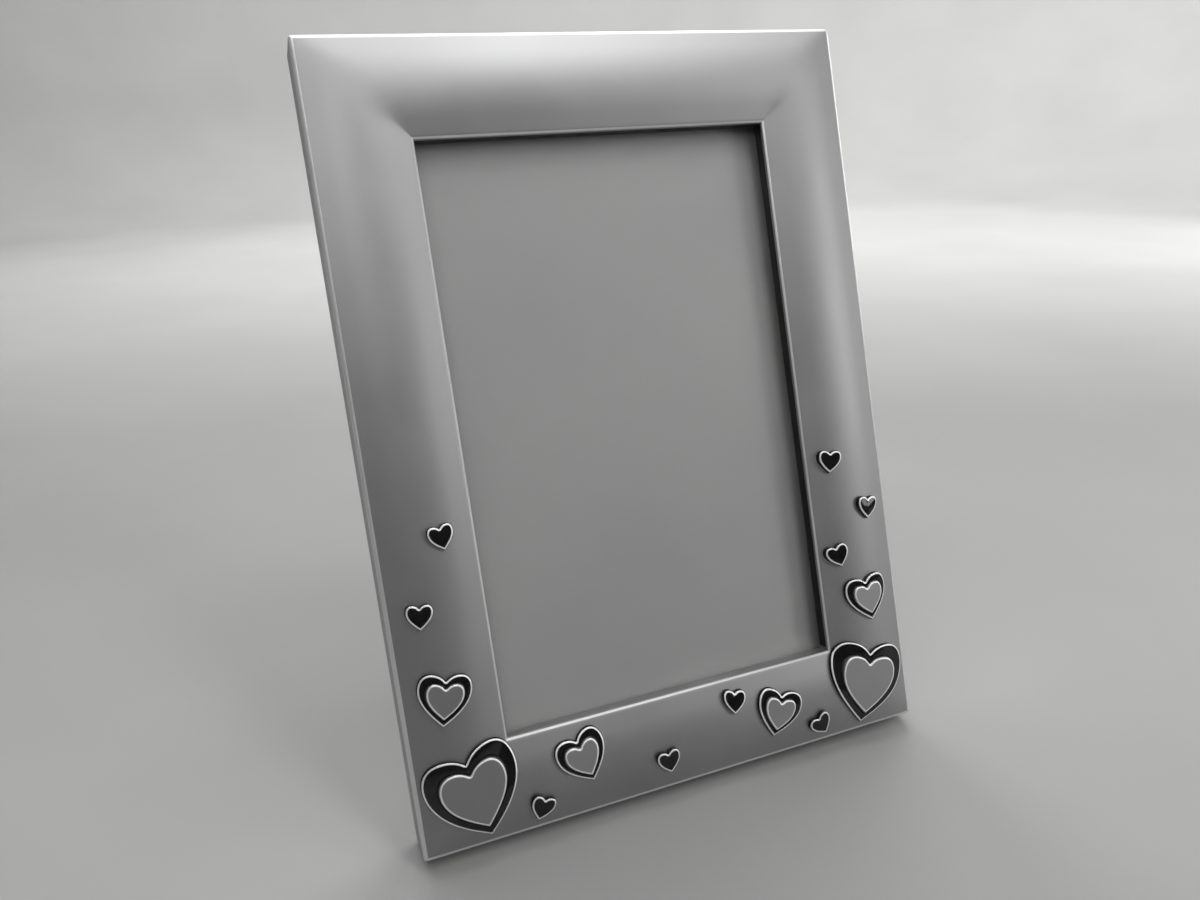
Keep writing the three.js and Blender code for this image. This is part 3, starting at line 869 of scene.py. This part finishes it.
def add_heart_rim(number, heart):
    """The polished rim of a two-part heart, laid over the moulding."""
    seat = heart_seat(heart)
    width = heart["width"]
    inner_drop = width * CENTRE_DROP_SHARE
    inner = heart_loop(seat, heart_outline(width * CENTRE_SHARE), inner_drop)
    filleted = heart_loop(seat, heart_outline(width * CENTRE_SHARE + 2 * INNER_FILLET), inner_drop)
    loops = [drape(inner, BOND_GAP)]
    loops.append(drape(heart_loop(seat, heart_outline(width)), BOND_GAP))
    # From this row on, the rounded edge carries the painted highlight.
    highlight_row = len(loops) + HIGHLIGHT_FROM
    for inward, below in rounded_edge(HEART_BEVEL):
        outline = heart_outline(width, inward)
        loops.append(drape(heart_loop(seat, outline), BOND_GAP + RIM_THICKNESS - below))
    top_row = len(loops) - 1
    loops.append(drape(filleted, BOND_GAP + RIM_THICKNESS))
    loops.append(drape(inner, BOND_GAP + RIM_THICKNESS - INNER_FILLET))
    points, faces, rows = loft(loops, True)
    bands = edge_bands(rows, highlight_row, top_row)
    mesh = new_mesh(f"heart_rim_skin_{number}", points, faces, LEANED, bands)
    # The rim is painted near-black as a painted dark reflection; the upper part of its edge carries a painted
    # highlight.
    add_piece(mesh, "frame", "polished_silver", [POLISHED_PAINTED_DARK, PAINTED_HEART_HIGHLIGHT], f"heart_rim_{number}")


def add_heart_centre(number, heart):
    """The centre of a two-part heart: a satin top with a painted highlight on its edge, standing in the rim
    and above it.
    """
    seat = heart_seat(heart)
    width = heart["width"] * CENTRE_SHARE
    drop = heart["width"] * CENTRE_DROP_SHARE
    points, faces, bands = heart_plate(seat, width, CENTRE_GAP, drop, RIM_THICKNESS + CENTRE_RISE, 0)
    mesh = new_mesh(f"heart_centre_skin_{number}", points, faces, LEANED, bands)
    add_piece(mesh, "frame", "satin_silver", [SATIN, PAINTED_HEART_HIGHLIGHT], f"heart_centre_{number}")


# The back: velvet boards and the hinge

def circle(radius, along, axis):
    """A ring about the x or y axis, or the one point where it closes."""
    if radius == 0:
        return [(along, 0, 0) if axis == "x" else (0, along, 0)]
    turns = [2 * math.pi * step / ROUND_STEPS for step in range(ROUND_STEPS)]
    flat = [(radius * math.cos(turn), radius * math.sin(turn)) for turn in turns]
    return [(along, a, b) if axis == "x" else (a, along, b) for a, b in flat]


def add_rivet(name, body, placed, x, z, from_y, seat_y):
    """A rivet whose shank starts at from_y and whose domed head sits on seat_y."""
    head_y = seat_y + RIVET_GAP
    profile = [(0, from_y), (RIVET_RADIUS, from_y), (RIVET_RADIUS, head_y)]
    for step in range(DOME_STEPS):
        turn = math.pi / 2 * step / DOME_STEPS
        profile.append((RIVET_HEAD_RADIUS * math.cos(turn), head_y + RIVET_HEAD_HEIGHT * math.sin(turn)))
    profile.append((0, head_y + RIVET_HEAD_HEIGHT))
    points, faces, _ = loft([circle(radius, along, "y") for radius, along in profile], False)
    mesh = new_mesh(f"{name}_skin", points, faces, placed @ Matrix.Translation((x, 0, z)))
    add_piece(mesh, body, "nickel", [NICKEL], name)


def add_hinge_pin():
    """The pin with a chamfered head at each end."""
    reach = LEAF_WIDTH / 2 + 2 * HINGE_GAP + HINGE_SHEET
    edge = PIN_HEAD_HEIGHT / 3
    half = [(PIN_RADIUS, reach), (PIN_HEAD_RADIUS, reach), (PIN_HEAD_RADIUS, reach + PIN_HEAD_HEIGHT - edge)]
    half += [(PIN_HEAD_RADIUS - edge, reach + PIN_HEAD_HEIGHT), (0, reach + PIN_HEAD_HEIGHT)]
    profile = [(radius, -along) for radius, along in reversed(half)] + half
    points, faces, _ = loft([circle(radius, along, "x") for radius, along in profile], False)
    mesh = new_mesh("hinge_pin_skin", points, faces, LEANED @ Matrix.Translation((0, PIVOT_Y, PIVOT_Z)))
    add_piece(mesh, "back", "nickel", [NICKEL], "hinge_pin")


def add_softened(node, body, slot, material, edge):
    """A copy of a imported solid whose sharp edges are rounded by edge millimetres."""
    solid = bmesh.new()
    solid.from_mesh(nodes[node].data)
    bmesh.ops.remove_doubles(solid, verts=solid.verts, dist=WELD * MM)
    bmesh.ops.dissolve_limit(solid, angle_limit=LEVEL_ANGLE, verts=solid.verts, edges=solid.edges)
    bmesh.ops.bevel(
        solid,
        geom=[e for e in solid.edges if e.is_manifold and e.calc_face_angle() > SHARP_ANGLE],
        offset=edge * MM,
        segments=SOFT_STRIPS,
        profile=0.5,
        affect="EDGES",
        clamp_overlap=True,
    )
    bmesh.ops.recalc_face_normals(solid, faces=solid.faces)
    mesh = bpy.data.meshes.new(f"{node}_skin")
    solid.to_mesh(mesh)
    solid.free()
    shade(mesh, FLAT_AREA * MM ** 2)
    add_piece(mesh, body, slot, [material], node)


def add_back():
    """The panel, the strut and the hinge that joins them."""
    add_softened("back_panel", "back", "black_velvet", VELVET, PANEL_EDGE)
    add_softened("strut", "strut", "black_velvet", VELVET, STRUT_EDGE)
    add_softened("hinge_bracket", "back", "nickel", NICKEL, HINGE_EDGE)
    add_softened("hinge_leaf", "strut", "nickel", NICKEL, HINGE_EDGE)
    add_hinge_pin()
    bracket_z = PIVOT_Z + BRACKET_RIVET_Z
    leaf_z = -LEAF_RIVET_DROP
    for number, x in ((1, -RIVET_SPREAD / 2), (2, RIVET_SPREAD / 2)):
        add_rivet(f"bracket_rivet_{number}", "back", LEANED, x, bracket_z, PANEL_Y, BRACKET_REAR_Y)
        add_rivet(f"leaf_rivet_{number}", "strut", STRUT_PLACED, x, leaf_z, STRUT_FRONT, BARREL_RADIUS)


def dress_nodes():
    """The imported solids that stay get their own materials."""
    for node, material in (
        ("glass_pane", clear_glass()),
        ("photo_insert", grey_paper()),
        ("backing_card", grey_card()),
        ("core_frame", fibreboard()),
    ):
        nodes[node].data.materials.clear()
        nodes[node].data.materials.append(material)


# The studio

def add_floor():
    """A pale round floor that sweeps up on all sides."""
    profile = [(0.0, 0.0), (FLOOR_RADIUS / 2, 0.0)]
    for step in range(FLOOR_BEND_STEPS + 1):
        turn = math.pi / 2 * step / FLOOR_BEND_STEPS
        profile.append((FLOOR_RADIUS + FLOOR_BEND * math.sin(turn), FLOOR_BEND * (1 - math.cos(turn))))
    profile.append((FLOOR_RADIUS + FLOOR_BEND, FLOOR_TOP))
    loops = []
    for radius, height in profile:
        count = ROUND_STEPS if radius > 0 else 1
        turns = [2 * math.pi * step / ROUND_STEPS for step in range(count)]
        loops.append([(radius * math.cos(turn), radius * math.sin(turn), height) for turn in turns])
    points, faces, _ = loft(loops, False)
    mesh = bpy.data.meshes.new("floor")
    mesh.from_pydata(points, [], faces)
    mesh.polygons.foreach_set("use_smooth", [True] * len(faces))
    mesh.materials.append(pale_floor())
    floor = bpy.data.objects.new("floor", mesh)
    bpy.context.scene.collection.objects.link(floor)


def add_lamp(name, place, aim, size, watts):
    """A soft rectangular lamp that looks at a point."""
    data = bpy.data.lights.new(name, "AREA")
    data.shape = "RECTANGLE"
    data.size, data.size_y = size
    data.energy = watts
    lamp = bpy.data.objects.new(name, data)
    lamp.location = place
    lamp.visible_camera = False
    lamp.rotation_euler = (Vector(place) - Vector(aim)).to_track_quat("Z", "Y").to_euler()
    bpy.context.scene.collection.objects.link(lamp)


def add_lights():
    """All the lamps, and a world that adds next to nothing."""
    for name, (azimuth, elevation, distance, size, watts) in LAMPS.items():
        turn = math.radians(azimuth)
        rise = math.radians(elevation)
        out = Vector((math.sin(turn) * math.cos(rise), -math.cos(turn) * math.cos(rise), math.sin(rise)))
        add_lamp(name, Vector(LAMP_AIM) + out * distance, LAMP_AIM, (size, size), watts)
    for name, (place, aim, width, height, watts) in PLACED_LAMPS.items():
        add_lamp(name, place, aim, (width, height), watts)
    world = bpy.data.worlds.new("studio")
    bpy.context.scene.world = world
    world.use_nodes = True
    surroundings = world.node_tree.nodes["Background"]
    surroundings.inputs["Color"].default_value = (WORLD_GREY, WORLD_GREY, WORLD_GREY, 1)


def add_camera():
    """The camera, set out from the middle of the leaning face."""
    right = Vector((1, 0, 0))
    up = Vector((0, math.sin(LEAN_BACK), math.cos(LEAN_BACK)))
    out = Vector((0, -math.cos(LEAN_BACK), math.sin(LEAN_BACK)))

    def from_face(three):
        return right * three[0] + up * three[1] + out * three[2]

    middle = LEANED @ Vector((0, EDGE_Y, FRAME_HEIGHT / 2))
    back = -from_face(CAMERA_FORWARD).normalized()
    side = from_face(CAMERA_UP).cross(back).normalized()
    turn = Matrix((side, back.cross(side), back)).transposed()
    data = bpy.data.cameras.new("camera")
    data.sensor_width = SENSOR_WIDTH
    data.lens = LENS
    data.clip_start = CLIP_START
    camera = bpy.data.objects.new("camera", data)
    camera.matrix_world = Matrix.Translation(middle + from_face(CAMERA_PLACE) * MM) @ turn.to_4x4()
    bpy.context.scene.collection.objects.link(camera)
    bpy.context.scene.camera = camera


add_camera()
add_shell()
for number, heart in enumerate(SMALL_HEARTS, 1):
    add_small_heart(number, heart)
for number, heart in enumerate(RING_HEARTS, 1):
    add_heart_rim(number, heart)
    add_heart_centre(number, heart)
add_back()
dress_nodes()
add_floor()
add_lights()
bpy.context.scene.view_settings.view_transform = "Standard"
